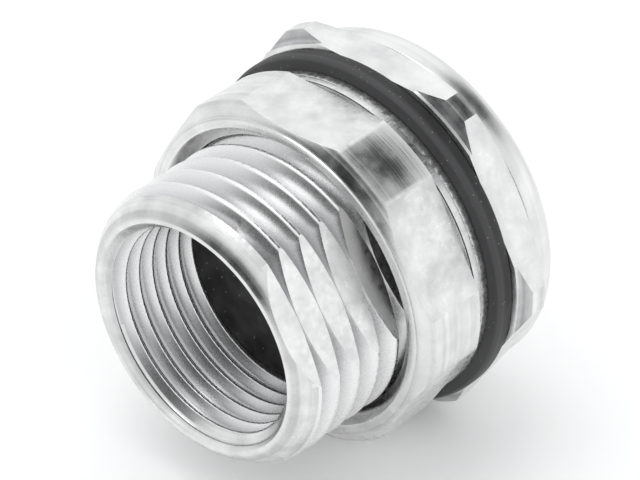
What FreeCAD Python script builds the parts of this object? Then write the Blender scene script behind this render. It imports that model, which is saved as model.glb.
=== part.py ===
import FreeCAD, Part
import os
import Sketcher
from FreeCAD import Vector

# Panel cable gland. The axis lies along Y: the threaded stub points to -Y and the cable leaves
# towards +Y. The origin is on the axis, in the plane where the gasket meets the panel, +Z is up.

SIZES = {
    # panel thread, M16 x 1.5, with one milled flat
    "thread_radius": 8.0,
    "thread_pitch": 1.5,
    "thread_depth": 0.92,
    "thread_crest": 0.26,
    "thread_start": 1.63,
    "thread_undercut": 1.4,
    "stub_length": 12.3,
    "lip_drop": 1.13,
    "lip_length": 1.5,
    "lip_shoulder_drop": 0.65,
    "lip_shoulder": 0.4,
    "flat_depth": 0.95,
    # port thread, M13 x 1, inside the stub
    "stub_wall": 2.05,
    "port_pitch": 1.0,
    "port_depth": 0.48,
    "port_crest": 0.4,
    "port_length": 6.2,
    "mouth_flare": 0.65,
    # gasket, toothed washer and locknut on the stub
    "gasket_width": 2.3,
    "gasket_thickness": 1.1,
    "gasket_squeeze": 0.02,
    "washer_width": 1.55,
    "washer_thickness": 0.9,
    "washer_teeth": 90,
    "tooth_depth": 0.15,
    "tooth_gap": 0.35,
    "nut_wall": 1.5,
    "nut_corner_ratio": 1.058,
    "nut_length": 4.5,
    "nut_rim": 0.45,
    "nut_countersink": 0.7,
    "nut_chamfer": 0.65,
    "nut_collar": 0.3,
    # hexagonal head and the spigot that carries the cap
    "head_wall": 2.0,
    "head_corner_ratio": 1.115,
    "head_length": 2.2,
    "head_face_margin": 0.2,
    "head_face_step": 0.2,
    "head_chamfer": 0.35,
    "head_back_chamfer": 0.7,
    "spigot_step": 0.6,
    "spigot_length": 1.6,
    "insert_relief": 0.07,
    "insert_ledge": 0.5,
    "cage_seat": 0.6,
    # dome cap, slip ring, clamping cage and sealing insert
    "cap_wall": 1.35,
    "cap_length": 3.3,
    "cap_rim": 1.45,
    "cap_taper": 3.0,
    "cap_round": 0.8,
    "cap_lip": 0.6,
    "slip_cover": 0.5,
    "slip_lip": 0.55,
    "slip_thickness": 0.5,
    "cage_wall": 1.6,
    "cage_slots": 8,
    "slot_width": 0.8,
    "slot_depth": 2.0,
    "cable_radius": 2.0,
    # fits
    "running_gap": 0.05,
    "seat_gap": 0.04,
}

AXIS_Y = "V_Axis"
FLAT_ANGLE = 60  # from straight up towards +X

# Radii that follow from the panel thread, outwards and then inwards.
RUNNING_RADIUS = "(Sizes.thread_radius + Sizes.running_gap)"
SEATED_RADIUS = "(Sizes.thread_radius + Sizes.seat_gap)"
GASKET_RADIUS = "(Sizes.thread_radius + Sizes.gasket_width)"
WASHER_RADIUS = "(Sizes.thread_radius + Sizes.washer_width)"
NUT_FLATS = "(2 * (Sizes.thread_radius + Sizes.nut_wall))"
HEAD_FLATS = "(2 * (Sizes.thread_radius + Sizes.head_wall))"
SPIGOT_RADIUS = "(Sizes.thread_radius + Sizes.spigot_step)"
PORT_RADIUS = "(Sizes.thread_radius - Sizes.stub_wall)"
INSERT_BORE = "(%s + Sizes.port_depth + Sizes.insert_relief)" % PORT_RADIUS
CAGE_BORE = "(%s + Sizes.insert_ledge)" % INSERT_BORE
CAGE_RADIUS = "(%s - Sizes.running_gap)" % CAGE_BORE
CAGE_INSIDE = "(%s - Sizes.cage_wall)" % CAGE_RADIUS
SLIP_RADIUS = "(%s + Sizes.slip_cover)" % CAGE_BORE
SLIP_BORE = "(%s - Sizes.slip_lip)" % CAGE_INSIDE
CAP_BORE = "(%s + Sizes.running_gap)" % SPIGOT_RADIUS
CAP_RADIUS = "(%s + Sizes.cap_wall)" % CAP_BORE

# Stations along the gland body, measured from the front face of the stub.
HEAD_FACE = "Sizes.stub_length + Sizes.gasket_thickness"
HEAD_BACK = HEAD_FACE + " + Sizes.head_length"
SPIGOT_END = HEAD_BACK + " + Sizes.spigot_length"
CAGE_SEAT = HEAD_FACE + " + Sizes.cage_seat"
# Stations of the cap: its front face from the panel plane, and its inner step from that face.
CAP_FRONT = "Sizes.gasket_thickness + Sizes.head_length + Sizes.seat_gap"
CAP_STEP = "Sizes.spigot_length + 2 * Sizes.seat_gap"

doc = FreeCAD.newDocument("cable_gland")
sheet = doc.addObject("Spreadsheet::Sheet", "Sizes")
for row, (alias, number) in enumerate(SIZES.items(), start=1):
    sheet.set("A%d" % row, str(number))
    sheet.setAlias("A%d" % row, alias)
doc.recompute()


def value(expression):
    """The number that an expression of sheet sizes comes to now."""
    return float(sheet.evalExpression(expression))


def new_body(name):
    body = doc.addObject("PartDesign::Body", name)
    body.Label = name
    return body


def new_sketch(body, name, role):
    sketch = body.newObject("Sketcher::SketchObject", name)
    plane = [item for item in body.Origin.OriginFeatures if item.Role == role][0]
    sketch.AttachmentSupport = (plane, [""])
    sketch.MapMode = "FlatFace"
    return sketch


def pin_point(sketch, geometry, end, across, along):
    """Hold one end of a line at two sheet expressions from the sketch origin."""
    for kind, expression in (("DistanceX", across), ("DistanceY", along)):
        number = sketch.addConstraint(
            Sketcher.Constraint(kind, -1, 1, geometry, end, value(expression))
        )
        sketch.setExpression("Constraints[%d]" % number, expression)


def closed_outline(sketch, corners):
    """A closed outline whose corners are pairs of sheet expressions."""
    points = [Vector(value(across), value(along), 0) for across, along in corners]
    lines = []
    for start, finish in zip(points, points[1:] + points[:1]):
        lines.append(sketch.addGeometry(Part.LineSegment(start, finish), False))
    for line, after in zip(lines, lines[1:] + lines[:1]):
        sketch.addConstraint(Sketcher.Constraint("Coincident", line, 2, after, 1))
    for line, (across, along) in zip(lines, corners):
        pin_point(sketch, line, 1, across, along)


def turned(body, corners):
    """A piece turned about its own Y axis from an outline of (radius, distance along Y)."""
    sketch = new_sketch(body, body.Name + "_profile", "XY_Plane")
    closed_outline(sketch, corners)
    turn = body.newObject("PartDesign::Revolution", body.Name + "_turned")
    turn.Profile = sketch
    turn.ReferenceAxis = (sketch, [AXIS_Y])
    turn.Angle = 360
    doc.recompute()
    return turn


def cut_volume(body, before):
    """Stop the build when a cutting feature has removed nothing."""
    doc.recompute()
    removed = before - body.Shape.Volume
    if removed <= 0:
        raise RuntimeError("the last cut on %s removed nothing" % body.Name)


def mill_hexagon(body, across_flats):
    """Mill six flats along the whole piece, with one flat facing up."""
    before = body.Shape.Volume
    sketch = new_sketch(body, body.Name + "_flats", "XZ_Plane")
    ring = sketch.addGeometry(Part.Circle(Vector(0, 0, 0), Vector(0, 0, 1), 30), False)
    sketch.addConstraint(Sketcher.Constraint("Coincident", ring, 3, -1, 1))
    size = sketch.addConstraint(Sketcher.Constraint("Radius", ring, 2 * value(across_flats)))
    sketch.setExpression("Constraints[%d]" % size, "2 * " + across_flats)
    reach = "(%s) / sqrt(3)" % across_flats
    corners = []
    for step in range(6):
        corners.append((
            "(%s) * cos(%d deg)" % (reach, 60 * step),
            "(%s) * sin(%d deg)" % (reach, 60 * step),
        ))
    closed_outline(sketch, corners)
    pocket = body.newObject("PartDesign::Pocket", body.Name + "_hexagon")
    pocket.Profile = sketch
    pocket.Type = "ThroughAll"
    pocket.Midplane = True
    cut_volume(body, before)


def cut_thread(body, name, corners, pitch, run):
    """Cut a helical groove whose outline is swept along +Y about the axis."""
    before = body.Shape.Volume
    sketch = new_sketch(body, name + "_profile", "XY_Plane")
    closed_outline(sketch, corners)
    helix = body.newObject("PartDesign::SubtractiveHelix", name)
    helix.Profile = sketch
    helix.ReferenceAxis = (sketch, [AXIS_Y])
    helix.Mode = 0
    helix.setExpression("Pitch", pitch)
    helix.setExpression("Height", run)
    cut_volume(body, before)


def place_along(body, expression):
    body.setExpression("Placement.Base.y", expression)


def circle_edge(shape, radius, along):
    """Name of the circular edge of this radius whose centre is this far along Y."""
    for number, edge in enumerate(shape.Edges, start=1):
        curve = edge.Curve
        if not isinstance(curve, Part.Circle):
            continue
        if abs(curve.Radius - radius) < 1e-4 and abs(curve.Center.y - along) < 1e-4:
            return "Edge%d" % number
    raise RuntimeError("no edge of radius %.2f" % radius)


def build_gland_body():
    """Threaded stub, hexagonal head and cap spigot, machined from one brass bar."""
    body = new_body("gland_body")
    chamfer_end = HEAD_FACE + " + Sizes.head_face_step + Sizes.head_chamfer"
    corner_radius = HEAD_FLATS + " / 2 * Sizes.head_corner_ratio"
    face_radius = GASKET_RADIUS + " + Sizes.head_face_margin"
    turned(body, [
        (PORT_RADIUS + " + Sizes.mouth_flare", "0"),
        ("Sizes.thread_radius - Sizes.lip_drop", "0"),
        ("Sizes.thread_radius - Sizes.lip_shoulder_drop", "Sizes.lip_shoulder"),
        ("Sizes.thread_radius", "Sizes.lip_length"),
        ("Sizes.thread_radius", HEAD_FACE),
        (face_radius, HEAD_FACE),
        (face_radius, HEAD_FACE + " + Sizes.head_face_step"),
        (corner_radius, chamfer_end),
        (corner_radius, HEAD_BACK + " - Sizes.head_back_chamfer"),
        (CAP_RADIUS, HEAD_BACK),
        (SPIGOT_RADIUS, HEAD_BACK),
        (SPIGOT_RADIUS, SPIGOT_END),
        (CAGE_BORE, SPIGOT_END),
        (CAGE_BORE, CAGE_SEAT),
        (INSERT_BORE, CAGE_SEAT),
        (INSERT_BORE, "Sizes.port_length"),
        (PORT_RADIUS, "Sizes.port_length"),
        (PORT_RADIUS, "Sizes.mouth_flare"),
    ])
    mill_hexagon(body, HEAD_FLATS)
    mill_stub_flat(body)
    cut_panel_thread(body)
    cut_port_thread(body)
    place_along(body, "-Sizes.stub_length")


def mill_stub_flat(body):
    """One flat on the stub, in line with a head flat, stops it turning in a D-shaped hole."""
    before = body.Shape.Volume
    sketch = new_sketch(body, "stub_flat_profile", "XZ_Plane")
    clear = "2 * Sizes.thread_radius"
    apothem = "(Sizes.thread_radius - Sizes.flat_depth)"
    corners = []
    for reach, width in (
        (apothem, "-" + clear),
        (apothem, clear),
        (clear, clear),
        (clear, "-" + clear),
    ):
        across = "%s * sin(%d deg) + %s * cos(%d deg)"
        along = "%s * cos(%d deg) - %s * sin(%d deg)"
        corners.append((
            across % (reach, FLAT_ANGLE, width, FLAT_ANGLE),
            along % (reach, FLAT_ANGLE, width, FLAT_ANGLE),
        ))
    closed_outline(sketch, corners)
    pocket = body.newObject("PartDesign::Pocket", "stub_flat")
    pocket.Profile = sketch
    pocket.Type = "Length"
    pocket.setExpression("Length", "Sizes.stub_length")
    cut_volume(body, before)


def cut_panel_thread(body):
    """External vee thread: the groove starts behind a plain rounded lip."""
    half_mouth = "(Sizes.thread_pitch - Sizes.thread_crest) / 2"
    slope = "Sizes.thread_depth * tan(30 deg)"
    root = "Sizes.thread_radius - Sizes.thread_depth"
    clear = "Sizes.thread_radius + Sizes.thread_depth"
    middle = "Sizes.thread_start"
    cut_thread(body, "panel_thread", [
        (root, "%s - (%s - %s)" % (middle, half_mouth, slope)),
        (clear, "%s - (%s + %s)" % (middle, half_mouth, slope)),
        (clear, "%s + (%s + %s)" % (middle, half_mouth, slope)),
        (root, "%s + (%s - %s)" % (middle, half_mouth, slope)),
    ], "Sizes.thread_pitch", "Sizes.stub_length - Sizes.thread_undercut - Sizes.thread_start")


def cut_port_thread(body):
    """Internal vee thread from the mouth to the face of the sealing insert."""
    half_mouth = "(Sizes.port_pitch - Sizes.port_crest) / 2"
    slope = "Sizes.port_depth * tan(30 deg)"
    root = PORT_RADIUS + " + Sizes.port_depth"
    clear = PORT_RADIUS + " - Sizes.port_depth"
    cut_thread(body, "port_thread", [
        (root, "-Sizes.port_pitch - (%s - %s)" % (half_mouth, slope)),
        (clear, "-Sizes.port_pitch - (%s + %s)" % (half_mouth, slope)),
        (clear, "-Sizes.port_pitch + (%s + %s)" % (half_mouth, slope)),
        (root, "-Sizes.port_pitch + (%s - %s)" % (half_mouth, slope)),
    ], "Sizes.port_pitch", "Sizes.port_length + 2 * Sizes.port_pitch")


def build_panel_gasket():
    """Flat rubber ring between the head and the outside of the panel."""
    body = new_body("panel_gasket")
    far = "Sizes.gasket_thickness - Sizes.gasket_squeeze"
    turned(body, [
        (SEATED_RADIUS, "0"),
        (GASKET_RADIUS, "0"),
        (GASKET_RADIUS, far),
        (SEATED_RADIUS, far),
    ])


def build_lock_washer():
    """Serrated spring steel washer that bites into the inside of the panel."""
    body = new_body("lock_washer")
    turned(body, [
        (RUNNING_RADIUS, "0"),
        (WASHER_RADIUS, "0"),
        (WASHER_RADIUS, "Sizes.washer_thickness"),
        (RUNNING_RADIUS, "Sizes.washer_thickness"),
    ])
    notch_ring(
        body,
        WASHER_RADIUS + " - Sizes.tooth_depth",
        "2 * " + WASHER_RADIUS,
        "Sizes.tooth_gap",
        "Sizes.washer_teeth",
        "Sizes.washer_thickness",
    )
    place_along(body, "-Sizes.washer_thickness - Sizes.seat_gap")


def notch_ring(body, near, far, width, count, depth):
    """Repeat a straight-sided notch round the axis, cut inwards from the piece's front face."""
    before = body.Shape.Volume
    sketch = new_sketch(body, body.Name + "_notch", "XZ_Plane")
    closed_outline(sketch, [
        (near, "-%s / 2" % width),
        (far, "-%s / 2" % width),
        (far, "%s / 2" % width),
        (near, "%s / 2" % width),
    ])
    pocket = body.newObject("PartDesign::Pocket", body.Name + "_notched")
    pocket.Profile = sketch
    pocket.Type = "Length"
    pocket.setExpression("Length", depth)
    cut_volume(body, before)
    ring = body.newObject("PartDesign::PolarPattern", body.Name + "_notches")
    ring.Originals = [pocket]
    ring.Axis = (sketch, ["N_Axis"])
    ring.Angle = 360
    ring.setExpression("Occurrences", count)
    body.Tip = ring
    cut_volume(body, before)


def build_locknut():
    """Hexagonal brass nut with turned corners and a countersunk mouth."""
    body = new_body("locknut")
    countersink_radius = RUNNING_RADIUS + " + Sizes.nut_countersink"
    corner_radius = NUT_FLATS + " / 2 * Sizes.nut_corner_ratio"
    collar_start = "Sizes.nut_length - Sizes.nut_collar"
    turned(body, [
        (countersink_radius, "0"),
        (countersink_radius + " + Sizes.nut_rim", "0"),
        (corner_radius, "Sizes.nut_chamfer"),
        (corner_radius, collar_start),
        (NUT_FLATS + " / 2", collar_start),
        (NUT_FLATS + " / 2", "Sizes.nut_length"),
        (RUNNING_RADIUS, "Sizes.nut_length"),
        (RUNNING_RADIUS, "Sizes.nut_countersink"),
    ])
    mill_hexagon(body, NUT_FLATS)
    place_along(body, "-Sizes.washer_thickness - 2 * Sizes.seat_gap - Sizes.nut_length")


def build_sealing_insert():
    """Rubber plug with a cable hole: a wide front seat and a neck inside the cage."""
    body = new_body("sealing_insert")
    front_radius = INSERT_BORE + " - Sizes.seat_gap"
    neck_radius = CAGE_INSIDE + " - Sizes.seat_gap"
    shoulder = CAGE_SEAT + " - Sizes.port_length - 2 * Sizes.seat_gap"
    length = SPIGOT_END + " - Sizes.port_length - 2 * Sizes.seat_gap"
    turned(body, [
        ("Sizes.cable_radius", "0"),
        (front_radius, "0"),
        (front_radius, shoulder),
        (neck_radius, shoulder),
        (neck_radius, length),
        ("Sizes.cable_radius", length),
    ])
    place_along(body, "Sizes.port_length + Sizes.seat_gap - Sizes.stub_length")


def build_clamp_cage():
    """Plastic ring with spring fingers that the cap squeezes onto the insert."""
    body = new_body("clamp_cage")
    length = "Sizes.head_length + Sizes.spigot_length - Sizes.cage_seat"
    turned(body, [
        (CAGE_INSIDE, "0"),
        (CAGE_RADIUS, "0"),
        (CAGE_RADIUS, length),
        (CAGE_INSIDE, length),
    ])
    notch_ring(
        body,
        CAGE_INSIDE + " - Sizes.running_gap",
        "2 * " + CAGE_BORE,
        "Sizes.slot_width",
        "Sizes.cage_slots",
        "Sizes.slot_depth",
    )
    body.Placement = FreeCAD.Placement(Vector(0, 0, 0), FreeCAD.Rotation(Vector(0, 0, 1), 180))
    place_along(body, SPIGOT_END + " + Sizes.seat_gap - Sizes.stub_length")


def build_slip_ring():
    """Thin plastic thrust ring that lets the cap turn without twisting the cage."""
    body = new_body("slip_ring")
    turned(body, [
        (SLIP_BORE, "0"),
        (SLIP_RADIUS, "0"),
        (SLIP_RADIUS, "Sizes.slip_thickness"),
        (SLIP_BORE, "Sizes.slip_thickness"),
    ])
    place_along(body, CAP_FRONT + " + " + CAP_STEP + " + Sizes.seat_gap")


def build_dome_cap():
    """Round brass cap with a low domed back, screwed onto the spigot."""
    body = new_body("dome_cap")
    seat_radius = SLIP_RADIUS + " + Sizes.running_gap"
    mouth_radius = SLIP_BORE + " - Sizes.cap_lip"
    seat = CAP_STEP + " + Sizes.slip_thickness + 2 * Sizes.seat_gap"
    turned(body, [
        (CAP_BORE, "0"),
        (CAP_RADIUS, "0"),
        (CAP_RADIUS, "Sizes.cap_rim"),
        (CAP_RADIUS + " - Sizes.cap_taper", "Sizes.cap_length"),
        (mouth_radius, "Sizes.cap_length"),
        (mouth_radius, seat),
        (seat_radius, seat),
        (seat_radius, CAP_STEP),
        (CAP_BORE, CAP_STEP),
    ])
    round_dome(body)
    place_along(body, CAP_FRONT)


def round_dome(body):
    """Round both edges of the cap's taper, so that its back is a low dome."""
    before = body.Shape.Volume
    base = body.Tip
    top_radius = value(CAP_RADIUS + " - Sizes.cap_taper")
    edges = [
        circle_edge(body.Shape, value(CAP_RADIUS), value("Sizes.cap_rim")),
        circle_edge(body.Shape, top_radius, value("Sizes.cap_length")),
    ]
    dome = body.newObject("PartDesign::Fillet", "cap_dome_round")
    dome.Base = (base, edges)
    dome.setExpression("Radius", "Sizes.cap_round")
    body.Tip = dome
    cut_volume(body, before)


def write_parts():
    """Check every piece and write it as a STEP file named after its label."""
    os.makedirs("parts", exist_ok=True)
    for item in doc.Objects:
        if "Invalid" in item.State or "Error" in item.State:
            raise RuntimeError("%s did not build" % item.Label)
    for body in doc.findObjects("PartDesign::Body"):
        if body.Shape.isNull() or not body.Shape.isValid():
            raise RuntimeError("%s has no valid shape" % body.Label)
        body.Shape.exportStep("parts/%s.step" % body.Label)


build_gland_body()
build_panel_gasket()
build_lock_washer()
build_locknut()
build_sealing_insert()
build_clamp_cage()
build_slip_ring()
build_dome_cap()
doc.recompute()
write_parts()
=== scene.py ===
import math

import bmesh
import bpy
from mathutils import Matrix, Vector


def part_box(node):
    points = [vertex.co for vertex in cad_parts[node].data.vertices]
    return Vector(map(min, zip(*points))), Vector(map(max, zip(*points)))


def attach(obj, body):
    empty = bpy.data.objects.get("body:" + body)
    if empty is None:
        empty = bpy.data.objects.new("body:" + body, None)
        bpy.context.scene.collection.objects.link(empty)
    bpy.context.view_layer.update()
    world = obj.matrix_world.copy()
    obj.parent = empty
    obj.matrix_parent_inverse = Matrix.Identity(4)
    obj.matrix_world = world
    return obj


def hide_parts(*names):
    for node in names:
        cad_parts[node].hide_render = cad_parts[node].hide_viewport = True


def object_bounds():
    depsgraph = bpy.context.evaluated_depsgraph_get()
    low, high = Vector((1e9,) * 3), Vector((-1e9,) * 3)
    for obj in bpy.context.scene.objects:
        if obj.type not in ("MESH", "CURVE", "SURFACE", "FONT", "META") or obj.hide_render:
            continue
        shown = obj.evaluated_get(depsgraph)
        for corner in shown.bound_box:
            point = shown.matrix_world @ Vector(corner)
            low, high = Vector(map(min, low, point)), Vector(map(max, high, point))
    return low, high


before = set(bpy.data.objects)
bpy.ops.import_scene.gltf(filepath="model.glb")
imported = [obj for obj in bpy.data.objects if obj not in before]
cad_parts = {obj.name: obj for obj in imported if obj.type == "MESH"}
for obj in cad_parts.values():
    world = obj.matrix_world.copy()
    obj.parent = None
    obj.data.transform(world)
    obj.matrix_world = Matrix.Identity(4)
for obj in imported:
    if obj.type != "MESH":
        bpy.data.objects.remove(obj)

cad_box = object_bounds()


# ---------------------------------------------------------------------------------------------
# Camera, floor and light. The gland lies with its axis level and its thread towards the lens,
# on a pale table under large soft lamps, as small plated fittings are shown in a catalogue.

def turn_from(azimuth, elevation):
    """The direction in which a camera at this azimuth and elevation, in degrees, looks."""
    side = math.radians(azimuth)
    rise = math.radians(elevation)
    return Vector((
        -math.sin(side) * math.cos(rise),
        math.cos(side) * math.cos(rise),
        -math.sin(rise),
    ))


CAMERA_AZIMUTH = 42.1
CAMERA_ELEVATION = 37.1
CAMERA_DISTANCE = 0.1794
CAMERA_AIM = Vector((0.00282, -0.00562, 0.00405))

look = turn_from(CAMERA_AZIMUTH, CAMERA_ELEVATION)
lens = bpy.data.cameras.new("catalogue_lens")
lens.lens = 196.9
lens.sensor_width = 36.0
lens.clip_start = 0.005
camera = bpy.data.objects.new("catalogue_camera", lens)
camera.location = CAMERA_AIM - look * CAMERA_DISTANCE
camera.rotation_euler = look.to_track_quat("-Z", "Y").to_euler()
bpy.context.scene.collection.objects.link(camera)
bpy.context.scene.camera = camera


def srgb(code, alpha=1.0):
    """A hex colour as the linear values that Blender's sockets take."""
    parts = [int(code[place:place + 2], 16) / 255 for place in (1, 3, 5)]
    linear = [
        part / 12.92 if part <= 0.04045 else ((part + 0.055) / 1.055) ** 2.4
        for part in parts
    ]
    return (*linear, alpha)


def add_node(material, kind, settings=None, links=None, **properties):
    """One node with its socket values, its links and its own properties."""
    node = material.node_tree.nodes.new(kind)
    for name, setting in properties.items():
        setattr(node, name, setting)
    for socket, number in (settings or {}).items():
        node.inputs[socket].default_value = number
    for socket, source in (links or {}).items():
        material.node_tree.links.new(source, node.inputs[socket])
    return node


def new_material(name):
    """An empty node material of this name."""
    material = bpy.data.materials.new(name)
    material.use_nodes = True
    material.node_tree.nodes.clear()
    return material


def surface(material, shader):
    """Send a shader to the material's output."""
    add_node(material, "ShaderNodeOutputMaterial", links={"Surface": shader.outputs[0]})


def ramp_stops(ramp, stops):
    """Set a colour ramp's stops from pairs of position and hex colour."""
    elements = ramp.color_ramp.elements
    while len(elements) < len(stops):
        elements.new(0.5)
    for element, (place, code) in zip(elements, stops):
        element.position = place
        element.color = srgb(code)


def soft_lamp(name, toward, distance, size, power):
    """A rectangular softbox in this direction from the object, aimed back at it."""
    lamp = bpy.data.lights.new(name, "AREA")
    lamp.shape = "RECTANGLE"
    lamp.size, lamp.size_y = size
    lamp.energy = power
    holder = bpy.data.objects.new(name, lamp)
    holder.location = Vector(toward).normalized() * distance
    holder.rotation_euler = Vector(toward).to_track_quat("Z", "Y").to_euler()
    bpy.context.scene.collection.objects.link(holder)


soft_lamp("overhead_softbox", (-0.15, -0.10, 1.0), 0.32, (0.20, 0.20), 0.20)
soft_lamp("back_softbox", (-0.535, 0.592, 0.603), 0.34, (0.30, 0.26), 0.05)
soft_lamp("right_softbox", (0.79, 0.592, 0.165), 0.34, (0.20, 0.10), 0.02)

# Round the table stand white walls, with two dark gaps between the softboxes that give the
# plated metal its grey bands.
world = bpy.data.worlds.new("pale_studio")
world.use_nodes = True
backdrop = world.node_tree.nodes["Background"]
direction = add_node(world, "ShaderNodeTexCoord").outputs["Generated"]


def studio_gap(toward, narrow, wide):
    """1 in a dark gap round this direction, fading to 0 between the two angles in degrees."""
    lean = add_node(
        world, "ShaderNodeVectorMath", {1: Vector(toward).normalized()}, {0: direction},
        operation="DOT_PRODUCT",
    )
    return add_node(
        world, "ShaderNodeMapRange",
        {"From Min": math.cos(math.radians(wide)), "From Max": math.cos(math.radians(narrow))},
        {"Value": lean.outputs["Value"]}, interpolation_type="SMOOTHSTEP",
    ).outputs["Result"]


gaps = add_node(world, "ShaderNodeMath", links={
    0: studio_gap((0.255, 0.592, 0.764), 9, 24), 1: studio_gap((-0.1, -0.98, 0.2), 14, 38),
}, operation="MAXIMUM")
walls = add_node(world, "ShaderNodeValToRGB", links={"Fac": gaps.outputs[0]})
ramp_stops(walls, [(0.0, "#F6F7F8"), (1.0, "#2C2D2E")])
world.node_tree.links.new(walls.outputs["Color"], backdrop.inputs["Color"])
backdrop.inputs["Strength"].default_value = 1.0
bpy.context.scene.world = world
bpy.context.scene.view_settings.view_transform = "Standard"

FLOOR_REACH = 1.2
floor_mesh = bmesh.new()
bmesh.ops.create_grid(floor_mesh, x_segments=1, y_segments=1, size=FLOOR_REACH)
bmesh.ops.translate(floor_mesh, verts=floor_mesh.verts, vec=(0, 0, cad_box[0][2]))
floor_data = bpy.data.meshes.new("table_top")
floor_mesh.to_mesh(floor_data)
floor_mesh.free()
floor = bpy.data.objects.new("table_top", floor_data)
bpy.context.scene.collection.objects.link(floor)
card = new_material("white_card")
surface(card, add_node(card, "ShaderNodeBsdfPrincipled", {
    "Base Color": srgb("#FAFAFA"), "Roughness": 0.9, "Specular IOR Level": 0.1,
    "Emission Color": srgb("#FFFFFF"), "Emission Strength": 0.12,
}))
floor_data.materials.append(card)


# ---------------------------------------------------------------------------------------------
# Gland body: threaded stub and hexagonal head. Turned from brass bar and nickel plated. The
# outer vee thread and the finer port thread are cut on the lathe, then one flat is milled along
# the stub. The head keeps the bar's six drawn flats between its turned face and rear chamfer.

MM = 0.001
SEGMENTS = 192


def box_mm(node):
    """The low and high corners of a CAD node's box, in millimetres."""
    low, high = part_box(node)
    return Vector(low) / MM, Vector(high) / MM


def ring_of(points, segments=SEGMENTS):
    """A bmesh turned about the Y axis from a closed outline of (radius, distance along Y)."""
    mesh = bmesh.new()
    corners = [mesh.verts.new((radius, along, 0)) for radius, along in points]
    edges = [mesh.edges.new((a, b)) for a, b in zip(corners, corners[1:] + corners[:1])]
    bmesh.ops.spin(
        mesh, geom=corners + edges, cent=(0, 0, 0), axis=(0, 1, 0), angle=math.tau,
        steps=segments, use_merge=True,
    )
    bmesh.ops.remove_doubles(mesh, verts=mesh.verts, dist=1e-4)
    bmesh.ops.recalc_face_normals(mesh, faces=mesh.faces)
    return mesh


def groove_cutter(points, pitch, run, start, steps=90):
    """A closed right-handed helical ridge about the Y axis, from an outline of (radius, along).

    It starts at +X, at this distance along Y, and winds towards +Y for the length of run.
    """
    mesh = bmesh.new()
    corners = [mesh.verts.new((radius, start + along, 0)) for radius, along in points]
    profile = mesh.faces.new(corners)
    count = int(steps * run / pitch)
    bmesh.ops.spin(
        mesh, geom=[profile], cent=(0, 0, 0), axis=(0, 1, 0), angle=math.tau * count / steps,
        steps=count, dvec=(0, pitch / steps, 0),
    )
    open_rims = [edge for edge in mesh.edges if len(edge.link_faces) == 1]
    if open_rims:
        bmesh.ops.contextual_create(mesh, geom=open_rims)
    bmesh.ops.recalc_face_normals(mesh, faces=mesh.faces)
    return mesh


def flats_cut(mesh, across, slot=1):
    """Cut six flats along the piece, the first facing up, and close each cut."""
    for step in range(6):
        turn = math.radians(60 * step)
        outward = Vector((math.sin(turn), 0, math.cos(turn)))
        cut = bmesh.ops.bisect_plane(
            mesh, geom=mesh.verts[:] + mesh.edges[:] + mesh.faces[:], dist=1e-5,
            plane_co=outward * across / 2, plane_no=outward, clear_outer=True,
        )
        rim = [item for item in cut["geom_cut"] if isinstance(item, bmesh.types.BMEdge)]
        closed = bmesh.ops.edgenet_fill(mesh, edges=rim, mat_nr=slot)
        for face in closed["faces"]:
            face.material_index = slot
    bmesh.ops.recalc_face_normals(mesh, faces=mesh.faces)


def rounded(mesh, width):
    """Break every edge that turns more than 20 degrees with a small round."""
    edges = [
        edge for edge in mesh.edges
        if len(edge.link_faces) == 2 and edge.calc_face_angle(0) > math.radians(20)
    ]
    bmesh.ops.bevel(
        mesh, geom=edges, offset=width, offset_type="OFFSET", segments=2, profile=0.5,
        affect="EDGES", material=-1, clamp_overlap=True,
    )


def as_object(name, mesh):
    """A bmesh in millimetres as an object in metres, smooth except at its corners."""
    bmesh.ops.scale(mesh, vec=(MM, MM, MM), verts=mesh.verts)
    data = bpy.data.meshes.new(name)
    mesh.to_mesh(data)
    mesh.free()
    piece = bpy.data.objects.new(name, data)
    bpy.context.scene.collection.objects.link(piece)
    shade(piece)
    return piece


def shade(piece, smooth=30):
    """Shade a piece smooth, except on its flats, which are in slot 1, and at its corners."""
    for face in piece.data.polygons:
        face.use_smooth = face.material_index != 1
    piece.data.set_sharp_from_angle(angle=math.radians(smooth))


def cut_away(piece, cutter):
    """Take a cutter's volume out of a piece, and drop the cutter."""
    tool = piece.modifiers.new("cut", "BOOLEAN")
    tool.operation = "DIFFERENCE"
    tool.solver = "EXACT"
    tool.object = cutter
    bpy.context.view_layer.update()
    result = bpy.data.meshes.new_from_object(
        piece.evaluated_get(bpy.context.evaluated_depsgraph_get())
    )
    piece.modifiers.clear()
    old = piece.data
    name = old.name
    piece.data = result
    bpy.data.meshes.remove(old)
    result.name = name
    bpy.data.objects.remove(cutter)


def vee_groove(radius, depth, pitch, crest, side, flare):
    """Outline of a 60 degree groove; side is 1 for an outer thread and -1 for an inner one.

    Each flank flares by this much where it meets the crest, and the root is rounded.
    """
    slope = math.tan(math.radians(30))
    half = (pitch - crest) / 2
    flank = [
        (-0.30, half + 1.2 * flare),
        (0.0, half + flare),
        (0.35 * flare, half + 0.25 * flare),
        (1.2 * flare, half - 0.55 * flare),
        (depth - 0.10, half - slope * (depth - 0.10) - 0.15 * flare),
        (depth - 0.03, (half - slope * depth) * 0.6),
    ]
    near = [(radius - side * down, -across) for down, across in flank]
    far = [(radius - side * down, across) for down, across in reversed(flank)]
    return near + [(radius - side * depth, 0)] + far


def run_in(mesh, near, far, depth):
    """Lift a cutter outwards between two stations, so that its groove starts from nothing."""
    for vert in mesh.verts:
        share = min(max((far - vert.co.y) / (far - near), 0), 1)
        radius = math.hypot(vert.co.x, vert.co.z)
        lift = 1 + share * depth / radius
        vert.co.x *= lift
        vert.co.z *= lift


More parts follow.
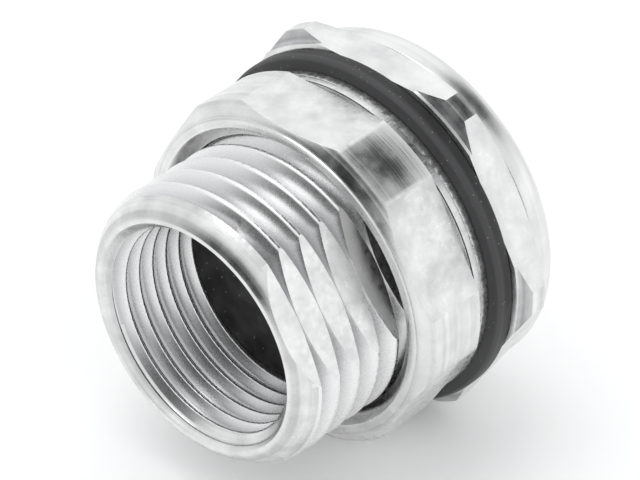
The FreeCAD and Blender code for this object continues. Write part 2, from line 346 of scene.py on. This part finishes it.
body_low, body_high = box_mm("gland_body")
gasket_low, gasket_high = box_mm("panel_gasket")
cap_low, cap_high = box_mm("dome_cap")
insert_low, insert_high = box_mm("sealing_insert")
THREAD_RADIUS = 8.0
THREAD_PITCH = 1.5
THREAD_DEPTH = 0.97
THREAD_CREST = 0.28
THREAD_START = 1.63
THREAD_UNDERCUT = 1.4
LIP = (
    (1.13, 0.0), (0.82, 0.2), (0.60, 0.45), (0.36, 0.75), (0.18, 1.05), (0.05, 1.3), (0.0, 1.55),
)
WALL_MIDDLE = 6.8
FLAT_APOTHEM = 7.05
FLAT_TURN = math.radians(60)
PORT_RADIUS = 5.90
PORT_PITCH = 1.0
PORT_DEPTH = 0.56
PORT_CREST = 0.14
PORT_START = 0.20
LIP_LENGTH = 0.9
MOUTH = ((0.72, 0.0), (0.62, 0.15), (0.42, 0.4), (0.05, 0.75))
HEAD_FACE_RADIUS = 10.5
HEAD_CORNER_RADIUS = 11.15
HEAD_FACE_STEP = 0.2
HEAD_CHAMFER = 0.35
HEAD_BACK_CHAMFER = 0.7
HEAD_FLATS = 20.0
INSERT_BORE = 6.5
CAGE_BORE = 7.0
CAGE_SEAT = 0.6
SPIGOT_RADIUS = 8.6
CORNER_ROUND = 0.07
GASKET_SQUEEZE = 0.02
SEAT_GAP = 0.04
TANGENT_GAP = 0.03

front = body_low.y
back = body_high.y
face = gasket_high.y + GASKET_SQUEEZE
head_back = cap_low.y - SEAT_GAP
port_end = insert_low.y - SEAT_GAP

gland = ring_of([
    *[(THREAD_RADIUS - drop, front + behind) for drop, behind in LIP],
    (THREAD_RADIUS, face),
    (HEAD_FACE_RADIUS, face),
    (HEAD_FACE_RADIUS, face + HEAD_FACE_STEP),
    (HEAD_CORNER_RADIUS, face + HEAD_FACE_STEP + HEAD_CHAMFER),
    (HEAD_CORNER_RADIUS, head_back - HEAD_BACK_CHAMFER),
    (HEAD_FLATS / 2 - TANGENT_GAP, head_back),
    (SPIGOT_RADIUS, head_back),
    (SPIGOT_RADIUS, back),
    (CAGE_BORE, back),
    (CAGE_BORE, face + CAGE_SEAT),
    (INSERT_BORE, face + CAGE_SEAT),
    (INSERT_BORE, port_end),
    (PORT_RADIUS, port_end),
    (PORT_RADIUS, front + LIP_LENGTH),
    *[(PORT_RADIUS + flare, front + behind) for flare, behind in reversed(MOUTH)],
])
flats_cut(gland, HEAD_FLATS)
rounded(gland, CORNER_ROUND)
gland_body_piece = as_object("gland_turned_body", gland)

panel_groove = groove_cutter(
    vee_groove(THREAD_RADIUS, THREAD_DEPTH, THREAD_PITCH, THREAD_CREST, 1, 0.08), THREAD_PITCH,
    -front - THREAD_UNDERCUT, front + THREAD_START - THREAD_PITCH,
)
run_in(panel_groove, front + 0.3, front + 1.4, THREAD_DEPTH + 0.1)
cut_away(gland_body_piece, as_object("panel_groove", panel_groove))
cut_away(gland_body_piece, as_object("port_groove", groove_cutter(
    vee_groove(PORT_RADIUS, PORT_DEPTH, PORT_PITCH, PORT_CREST, -1, 0.04), PORT_PITCH,
    port_end - front + PORT_PITCH, front + PORT_START - PORT_PITCH,
)))
mill = bmesh.new()
bmesh.ops.create_cube(mill, size=1)
bmesh.ops.scale(mill, vec=(4 * THREAD_RADIUS, -front + 2, THREAD_RADIUS), verts=mill.verts)
bmesh.ops.translate(
    mill, vec=(0, front / 2 - 1, FLAT_APOTHEM + THREAD_RADIUS / 2), verts=mill.verts,
)
bmesh.ops.rotate(
    mill, verts=mill.verts, cent=(0, 0, 0),
    matrix=Vector((0, 0, 1)).rotation_difference(
        Vector((math.sin(FLAT_TURN), 0, math.cos(FLAT_TURN)))
    ).to_matrix(),
)
cut_away(gland_body_piece, as_object("flat_mill", mill))
shade(gland_body_piece, 32)

# faces of the turned body: 0 turned, 1 drawn or milled flats, 2 threads, 3 front chamfer,
# rougher and painted darker as shade
milled_way = Vector((math.sin(FLAT_TURN), 0, math.cos(FLAT_TURN)))
for face_of_body in gland_body_piece.data.polygons:
    middle = face_of_body.center / MM
    radius = math.hypot(middle.x, middle.z)
    if middle.y < face - 0.3:
        faces_mill = face_of_body.normal.dot(milled_way) > 0.999
        if faces_mill and abs(middle.dot(milled_way) - FLAT_APOTHEM) < 0.01:
            face_of_body.material_index = 1
            face_of_body.use_smooth = False
        elif middle.y > front + (LIP_LENGTH if radius > WALL_MIDDLE else MOUTH[-1][1]):
            face_of_body.material_index = 2
    elif face_of_body.normal.y < -0.6 and radius > HEAD_FACE_RADIUS + 0.02:
        face_of_body.material_index = 3


def turned_nickel(name, colour, roughness, ring_strength):
    """Bright nickel over turned brass: fine lathe rings round the axis under a satin plate."""
    material = new_material(name)
    place = add_node(material, "ShaderNodeTexCoord").outputs["Object"]
    parts = add_node(material, "ShaderNodeSeparateXYZ", links={0: place})
    flat = add_node(
        material, "ShaderNodeVectorMath", {1: (1, 0, 1)}, {0: place}, operation="MULTIPLY",
    )
    reach = add_node(
        material, "ShaderNodeVectorMath", links={0: flat.outputs[0]}, operation="LENGTH",
    )
    rings = add_node(material, "ShaderNodeCombineXYZ", links={
        "X": reach.outputs["Value"], "Y": parts.outputs["Y"],
    })
    # tool marks 0.08 mm apart, drawn at 0.16 mm so that they show
    marks = add_node(material, "ShaderNodeTexNoise", {"Scale": 1 / (0.16 * MM), "Detail": 2.0}, {
        "Vector": rings.outputs[0],
    })
    # cloudy patches of plate, 1.2 mm across
    clouds = add_node(material, "ShaderNodeTexNoise", {"Scale": 1 / (1.2 * MM), "Detail": 5.0}, {
        "Vector": place,
    })
    # dull and bright rings left by the lathe, half a millimetre wide
    bands = add_node(material, "ShaderNodeTexNoise", {"Scale": 1 / (0.5 * MM), "Detail": 3.0}, {
        "Vector": rings.outputs[0],
    })
    patches = add_node(material, "ShaderNodeMix", {0: 0.6}, {
        2: clouds.outputs["Fac"], 3: bands.outputs["Fac"],
    }, data_type="FLOAT")
    tone = add_node(material, "ShaderNodeValToRGB", links={"Fac": patches.outputs[0]})
    ramp_stops(tone, [(0.38, colour[0]), (0.62, colour[1])])
    gloss = add_node(material, "ShaderNodeMapRange", {
        "From Min": 0.3, "From Max": 0.7, "To Min": roughness[0], "To Max": roughness[1],
    }, {"Value": clouds.outputs["Fac"]})
    relief = add_node(material, "ShaderNodeBump", {
        "Strength": ring_strength, "Distance": 0.01 * MM,
    }, {"Height": marks.outputs["Fac"]})
    surface(material, add_node(material, "ShaderNodeBsdfPrincipled", {"Metallic": 1.0}, {
        "Base Color": tone.outputs["Color"], "Roughness": gloss.outputs["Result"],
        "Normal": relief.outputs["Normal"],
    }))
    return material


def thread_nickel(name, roots, roughness):
    """Nickel over cut threads: bright on the crests, and greyer towards each root with painted
    shade.

    roots gives each thread's crest radius, root radius and the grey of its painted root shade,
    inner thread first.
    """
    material = new_material(name)
    place = add_node(material, "ShaderNodeTexCoord").outputs["Object"]
    flat = add_node(
        material, "ShaderNodeVectorMath", {1: (1, 0, 1)}, {0: place}, operation="MULTIPLY",
    )
    reach = add_node(
        material, "ShaderNodeVectorMath", links={0: flat.outputs[0]}, operation="LENGTH",
    )
    painted_root_shades = []
    # painted shade: each thread greys from its crest down to its root
    for crest, root, colour in roots:
        depth = add_node(material, "ShaderNodeMapRange", {
            "From Min": crest * MM, "From Max": root * MM,
        }, {"Value": reach.outputs["Value"]})
        tone = add_node(material, "ShaderNodeValToRGB", links={"Fac": depth.outputs["Result"]})
        ramp_stops(tone, [(0.0, "#EFEFEF"), (1.0, colour)])
        painted_root_shades.append(tone.outputs["Color"])
    # the two threads lie either side of the stub's wall
    wall = (roots[0][1] + roots[1][1]) / 2
    outside = add_node(material, "ShaderNodeMath", {1: wall * MM}, {
        0: reach.outputs["Value"],
    }, operation="GREATER_THAN")
    both = add_node(material, "ShaderNodeMix", links={
        0: outside.outputs[0], 6: painted_root_shades[0], 7: painted_root_shades[1],
    }, data_type="RGBA")
    # grain of the cut flanks, 0.15 mm across
    grain = add_node(material, "ShaderNodeTexNoise", {"Scale": 1 / (0.15 * MM), "Detail": 3.0}, {
        "Vector": place,
    })
    gloss = add_node(material, "ShaderNodeMapRange", {
        "From Min": 0.3, "From Max": 0.7, "To Min": roughness[0], "To Max": roughness[1],
    }, {"Value": grain.outputs["Fac"]})
    relief = add_node(material, "ShaderNodeBump", {"Strength": 0.03, "Distance": 0.01 * MM}, {
        "Height": grain.outputs["Fac"],
    })
    surface(material, add_node(material, "ShaderNodeBsdfPrincipled", {"Metallic": 1.0}, {
        "Base Color": both.outputs[2], "Roughness": gloss.outputs["Result"],
        "Normal": relief.outputs["Normal"],
    }))
    return material


def drawn_nickel(name, colour, roughness, scratch_strength):
    """Nickel over the drawn bar's flats: satin, with long fine scratches and shallow pits."""
    material = new_material(name)
    place = add_node(material, "ShaderNodeTexCoord").outputs["Object"]
    # drawing lines along the bar, 0.1 mm apart and several millimetres long
    along = add_node(material, "ShaderNodeMapping", {"Scale": (1, 0.06, 1)}, {"Vector": place})
    lines = add_node(material, "ShaderNodeTexNoise", {"Scale": 1 / (0.1 * MM), "Detail": 3.0}, {
        "Vector": along.outputs[0],
    })
    pits = add_node(material, "ShaderNodeTexNoise", {"Scale": 1 / (0.35 * MM), "Detail": 5.0}, {
        "Vector": place,
    })
    clouds = add_node(material, "ShaderNodeTexNoise", {"Scale": 1 / (1.6 * MM), "Detail": 5.0}, {
        "Vector": place,
    })
    tone = add_node(material, "ShaderNodeValToRGB", links={"Fac": clouds.outputs["Fac"]})
    ramp_stops(tone, [(0.3, colour[0]), (0.7, colour[1])])
    gloss = add_node(material, "ShaderNodeMapRange", {
        "From Min": 0.3, "From Max": 0.7, "To Min": roughness[0], "To Max": roughness[1],
    }, {"Value": pits.outputs["Fac"]})
    height = add_node(material, "ShaderNodeMath", links={
        0: lines.outputs["Fac"], 1: pits.outputs["Fac"],
    }, operation="ADD")
    relief = add_node(material, "ShaderNodeBump", {
        "Strength": scratch_strength, "Distance": 0.012 * MM,
    }, {"Height": height.outputs[0]})
    surface(material, add_node(material, "ShaderNodeBsdfPrincipled", {"Metallic": 1.0}, {
        "Base Color": tone.outputs["Color"], "Roughness": gloss.outputs["Result"],
        "Normal": relief.outputs["Normal"],
    }))
    return material


body_nickel = turned_nickel("turned_nickel_plate", ("#C6C6C6", "#F0F0EF"), (0.20, 0.34), 0.7)
flat_nickel = drawn_nickel("drawn_nickel_flats", ("#D6D6D6", "#EEEEED"), (0.24, 0.44), 0.9)
# crest and root radii of the two threads, and the grey of the painted shade at each root
cut_nickel = thread_nickel("cut_thread_nickel_painted_root_shade", (
    (PORT_RADIUS, PORT_RADIUS + 0.45, "#C6C6C7"),
    (THREAD_RADIUS - 0.15, THREAD_RADIUS - 0.95, "#C2C2C3"),
), (0.26, 0.30))
# the head's front chamfer: a rougher plate, and a darker colour that is painted shade
dull_shaded_nickel = turned_nickel("dull_chamfer_nickel_painted_shade", ("#A8A8A9", "#D8D8D8"), (0.22, 0.42), 1.0)
for finish in (body_nickel, flat_nickel, cut_nickel, dull_shaded_nickel):
    gland_body_piece.data.materials.append(finish)
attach(gland_body_piece, "gland")
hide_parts("gland_body")


# ---------------------------------------------------------------------------------------------
# Locknut: hexagonal brass nut, cut from drawn bar and nickel plated. Its corners are turned
# round, its mouth is countersunk, and a low round collar bears on the toothed washer.

nut_low, nut_high = box_mm("locknut")
NUT_FLATS = 19.0
NUT_CORNER_RADIUS = 10.05
NUT_BORE = 8.05
NUT_COUNTERSINK = 0.7
NUT_RIM = 0.45
NUT_CHAMFER = 0.65
NUT_STEP = 0.12
NUT_COLLAR = 0.3
NUT_ROUND = 0.03
nut = ring_of([
    (NUT_BORE + NUT_COUNTERSINK, nut_low.y),
    (NUT_BORE + NUT_COUNTERSINK + NUT_RIM, nut_low.y),
    (NUT_BORE + NUT_COUNTERSINK + NUT_RIM + 0.02, nut_low.y + NUT_STEP),
    (NUT_BORE + NUT_COUNTERSINK + NUT_RIM + 0.10, nut_low.y + NUT_STEP),
    (NUT_CORNER_RADIUS, nut_low.y + NUT_CHAMFER),
    (NUT_CORNER_RADIUS, nut_high.y - NUT_COLLAR),
    (NUT_FLATS / 2 - TANGENT_GAP, nut_high.y - NUT_COLLAR),
    (NUT_FLATS / 2 - TANGENT_GAP, nut_high.y),
    (NUT_BORE, nut_high.y),
    (NUT_BORE, nut_low.y + NUT_COUNTERSINK),
])
flats_cut(nut, NUT_FLATS)
rounded(nut, NUT_ROUND)
locknut_piece = as_object("locknut_plated", nut)
nut_turned = turned_nickel("nut_turned_nickel", ("#D2D2D2", "#EFEFEE"), (0.20, 0.34), 1.0)
nut_flat = drawn_nickel("nut_drawn_nickel", ("#CECECE", "#ECECEB"), (0.22, 0.44), 1.0)
for finish in (nut_turned, nut_flat):
    locknut_piece.data.materials.append(finish)
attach(locknut_piece, "nut")
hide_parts("locknut")


# ---------------------------------------------------------------------------------------------
# Toothed lock washer: stamped from spring steel and plated. Its rim is plain in front, against
# the nut, and has fine torn teeth behind that bite into the panel when the nut is tightened.

washer_low, washer_high = box_mm("lock_washer")
WASHER_BORE = 8.05
WASHER_RADIUS = 9.55
WASHER_PLAIN = 0.46
WASHER_TEETH = 120
TOOTH_DEPTH = 0.06
washer = ring_of([
    (WASHER_BORE, washer_low.y),
    (WASHER_RADIUS - 0.03, washer_low.y),
    (WASHER_RADIUS - 0.03, washer_low.y + WASHER_PLAIN - 0.08),
    (WASHER_RADIUS - 0.12, washer_low.y + WASHER_PLAIN - 0.04),
    (WASHER_RADIUS - 0.02, washer_low.y + WASHER_PLAIN),
    (WASHER_RADIUS, washer_high.y - 0.15),
    (WASHER_RADIUS - 0.03, washer_high.y),
    (WASHER_BORE, washer_high.y),
], segments=WASHER_TEETH * 3)
for corner in washer.verts:
    radius = math.hypot(corner.co.x, corner.co.z)
    if radius > WASHER_RADIUS - 0.04 and corner.co.y > washer_low.y + WASHER_PLAIN - 0.01:
        turn = math.atan2(corner.co.z, corner.co.x) / math.tau
        step = round(turn * WASHER_TEETH * 3)
        # every tooth is torn to a different depth
        torn = 0.5 + 0.5 * math.sin(2.4 * step) * math.sin(0.37 * step + 40 * corner.co.y)
        reach = 1 - TOOTH_DEPTH * torn * (1 if step % 3 else 0.2) / radius
        corner.co.x *= reach
        corner.co.z *= reach
washer_piece = as_object("toothed_washer", washer)
spring_steel = drawn_nickel("plated_spring_steel", ("#D2D2D2", "#EFEFEF"), (0.22, 0.40), 0.8)
washer_piece.data.materials.append(spring_steel)
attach(washer_piece, "washer")
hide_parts("lock_washer")


# ---------------------------------------------------------------------------------------------
# Panel gasket: flat ring punched from black nitrile rubber sheet. Its edges are slightly
# rounded, and its front shoulder is painted paler than the rest, a painted sheen of light on its
# rim.

GASKET_BORE = 8.04
GASKET_RADIUS = 10.3
gasket = ring_of([
    (GASKET_BORE, gasket_low.y),
    (GASKET_RADIUS - 0.18, gasket_low.y),
    (GASKET_RADIUS - 0.03, gasket_low.y + 0.25),
    (GASKET_RADIUS - 0.03, gasket_high.y - 0.2),
    (GASKET_RADIUS - 0.10, gasket_high.y),
    (GASKET_BORE, gasket_high.y),
])
rounded(gasket, 0.06)
gasket_piece = as_object("punched_gasket", gasket)


def black_rubber(name, colour, roughness, dust, painted_sheen=None):
    """Matt black rubber: dull soft sheen, fine grain, and pale dust caught on the surface.

    The last argument gives two stations along Y between which a paler colour, a painted sheen of
    light on the front shoulder, fades out, and then that colour.
    """
    material = new_material(name)
    place = add_node(material, "ShaderNodeTexCoord").outputs["Object"]
    grain = add_node(material, "ShaderNodeTexNoise", {"Scale": 1 / (0.12 * MM), "Detail": 4.0}, {
        "Vector": place,
    })
    haze = add_node(material, "ShaderNodeTexNoise", {"Scale": 1 / (1.5 * MM), "Detail": 5.0}, {
        "Vector": place,
    })
    tone = add_node(material, "ShaderNodeValToRGB", links={"Fac": haze.outputs["Fac"]})
    ramp_stops(tone, [(0.35, colour[0]), (0.7, colour[1])])
    # dust specks 0.06 mm across and about 0.4 mm apart
    specks = add_node(material, "ShaderNodeTexVoronoi", {"Scale": 1 / (0.4 * MM)}, {
        "Vector": place,
    })
    dots = add_node(material, "ShaderNodeMapRange", {
        "From Min": 0.13, "From Max": 0.07, "To Max": dust,
    }, {"Value": specks.outputs["Distance"]})
    body = tone.outputs["Color"]
    # painted sheen: between two stations along Y the rubber is painted paler, where light falls
    # on the gasket's front shoulder
    if painted_sheen:
        along = add_node(material, "ShaderNodeSeparateXYZ", links={0: place})
        sheen_fade = add_node(material, "ShaderNodeMapRange", {
            "From Min": painted_sheen[1] * MM, "From Max": painted_sheen[0] * MM,
        }, {"Value": along.outputs["Y"]})
        body = add_node(material, "ShaderNodeMix", {7: srgb(painted_sheen[2])}, {
            0: sheen_fade.outputs["Result"], 6: body,
        }, data_type="RGBA").outputs[2]
    dusty = add_node(material, "ShaderNodeMix", {7: srgb("#B9B9B7")}, {
        0: dots.outputs["Result"], 6: body,
    }, data_type="RGBA")
    relief = add_node(material, "ShaderNodeBump", {"Strength": 0.35, "Distance": 0.02 * MM}, {
        "Height": grain.outputs["Fac"],
    })
    surface(material, add_node(material, "ShaderNodeBsdfPrincipled", {
        "Roughness": roughness, "Specular IOR Level": 0.45,
    }, {"Base Color": dusty.outputs[2], "Normal": relief.outputs["Normal"]}))
    return material


gasket_piece.data.materials.append(black_rubber(
    "black_nitrile_sheet", ("#222223", "#303031"), 0.55, 0.3,
    # the paler front shoulder is a painted sheen of light on the gasket's rim
    painted_sheen=(gasket_low.y + 0.30, gasket_low.y + 0.55, "#424243"),
))
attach(gasket_piece, "gland")
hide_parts("panel_gasket")


# ---------------------------------------------------------------------------------------------
# Sealing insert: moulded black rubber plug with a small cable hole. A wide seat closes the
# stub behind the port thread, and a neck reaches back inside the cage.

CABLE_RADIUS = 2.0
SEAT_RADIUS = 6.46
NECK_RADIUS = 5.31
shoulder = face + CAGE_SEAT - SEAT_GAP

insert = ring_of([
    (CABLE_RADIUS, insert_low.y),
    (SEAT_RADIUS, insert_low.y),
    (SEAT_RADIUS, shoulder),
    (NECK_RADIUS, shoulder),
    (NECK_RADIUS, insert_high.y),
    (CABLE_RADIUS, insert_high.y),
])
rounded(insert, 0.12)
insert_piece = as_object("moulded_insert", insert)
insert_piece.data.materials.append(
    black_rubber("moulded_black_rubber", ("#2A2A2B", "#525251"), 0.62, 0.9)
)
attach(insert_piece, "gland")
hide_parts("sealing_insert")


# ---------------------------------------------------------------------------------------------
# Clamping cage and slip ring: moulded polyamide. The cage's fingers are squeezed on the insert
# by the cap, and the thin ring between them lets the cap turn freely.

def polyamide(name, colour, roughness):
    """Moulded nylon: milky, with an even fine grain from the mould."""
    material = new_material(name)
    place = add_node(material, "ShaderNodeTexCoord").outputs["Object"]
    grain = add_node(material, "ShaderNodeTexNoise", {"Scale": 1 / (0.15 * MM), "Detail": 3.0}, {
        "Vector": place,
    })
    tone = add_node(material, "ShaderNodeValToRGB", links={"Fac": grain.outputs["Fac"]})
    ramp_stops(tone, [(0.3, colour[0]), (0.7, colour[1])])
    relief = add_node(material, "ShaderNodeBump", {"Strength": 0.2, "Distance": 0.01 * MM}, {
        "Height": grain.outputs["Fac"],
    })
    surface(material, add_node(material, "ShaderNodeBsdfPrincipled", {
        "Roughness": roughness, "IOR": 1.53,
    }, {"Base Color": tone.outputs["Color"], "Normal": relief.outputs["Normal"]}))
    return material


for node, finish in (
    ("clamp_cage", polyamide("grey_polyamide", ("#8E8E8A", "#9A9A96"), 0.5)),
    ("slip_ring", polyamide("natural_polyamide", ("#D6D5CC", "#E0DFD6"), 0.4)),
):
    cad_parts[node].data.materials.clear()
    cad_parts[node].data.materials.append(finish)


# ---------------------------------------------------------------------------------------------
# Dome cap: round brass cap, turned and nickel plated, with a domed back round the cable mouth.
# It screws onto the head's spigot and presses the slip ring on the cage.

CAP_RADIUS = 10.0
CAP_RIM = 1.45
CAP_TAPER = 3.0
CAP_MOUTH_RADIUS = 4.2
CAP_BORE = 8.65
CAP_STEP = 1.68
CAP_SEAT = 2.26
CAP_SEAT_RADIUS = 7.55
cap = ring_of([
    (CAP_BORE, cap_low.y),
    (CAP_RADIUS, cap_low.y),
    (CAP_RADIUS, cap_low.y + CAP_RIM - 0.45),
    (CAP_RADIUS - 0.07, cap_low.y + CAP_RIM - 0.20),
    (CAP_RADIUS - 0.25, cap_low.y + CAP_RIM + 0.03),
    (CAP_RADIUS - 0.60, cap_low.y + CAP_RIM + 0.33),
    (CAP_RADIUS - CAP_TAPER + 0.35, cap_high.y - 0.22),
    (CAP_RADIUS - CAP_TAPER - 0.05, cap_high.y - 0.05),
    (CAP_RADIUS - CAP_TAPER - 0.45, cap_high.y),
    (CAP_MOUTH_RADIUS, cap_high.y),
    (CAP_MOUTH_RADIUS, cap_low.y + CAP_SEAT),
    (CAP_SEAT_RADIUS, cap_low.y + CAP_SEAT),
    (CAP_SEAT_RADIUS, cap_low.y + CAP_STEP),
    (CAP_BORE, cap_low.y + CAP_STEP),
])
rounded(cap, 0.10)
cap_piece = as_object("domed_cap", cap)
cap_piece.data.materials.append(
    turned_nickel("cap_nickel_plate", ("#DEDEDE", "#ECECEB"), (0.22, 0.32), 0.3)
)
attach(cap_piece, "cap")
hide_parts("dome_cap")
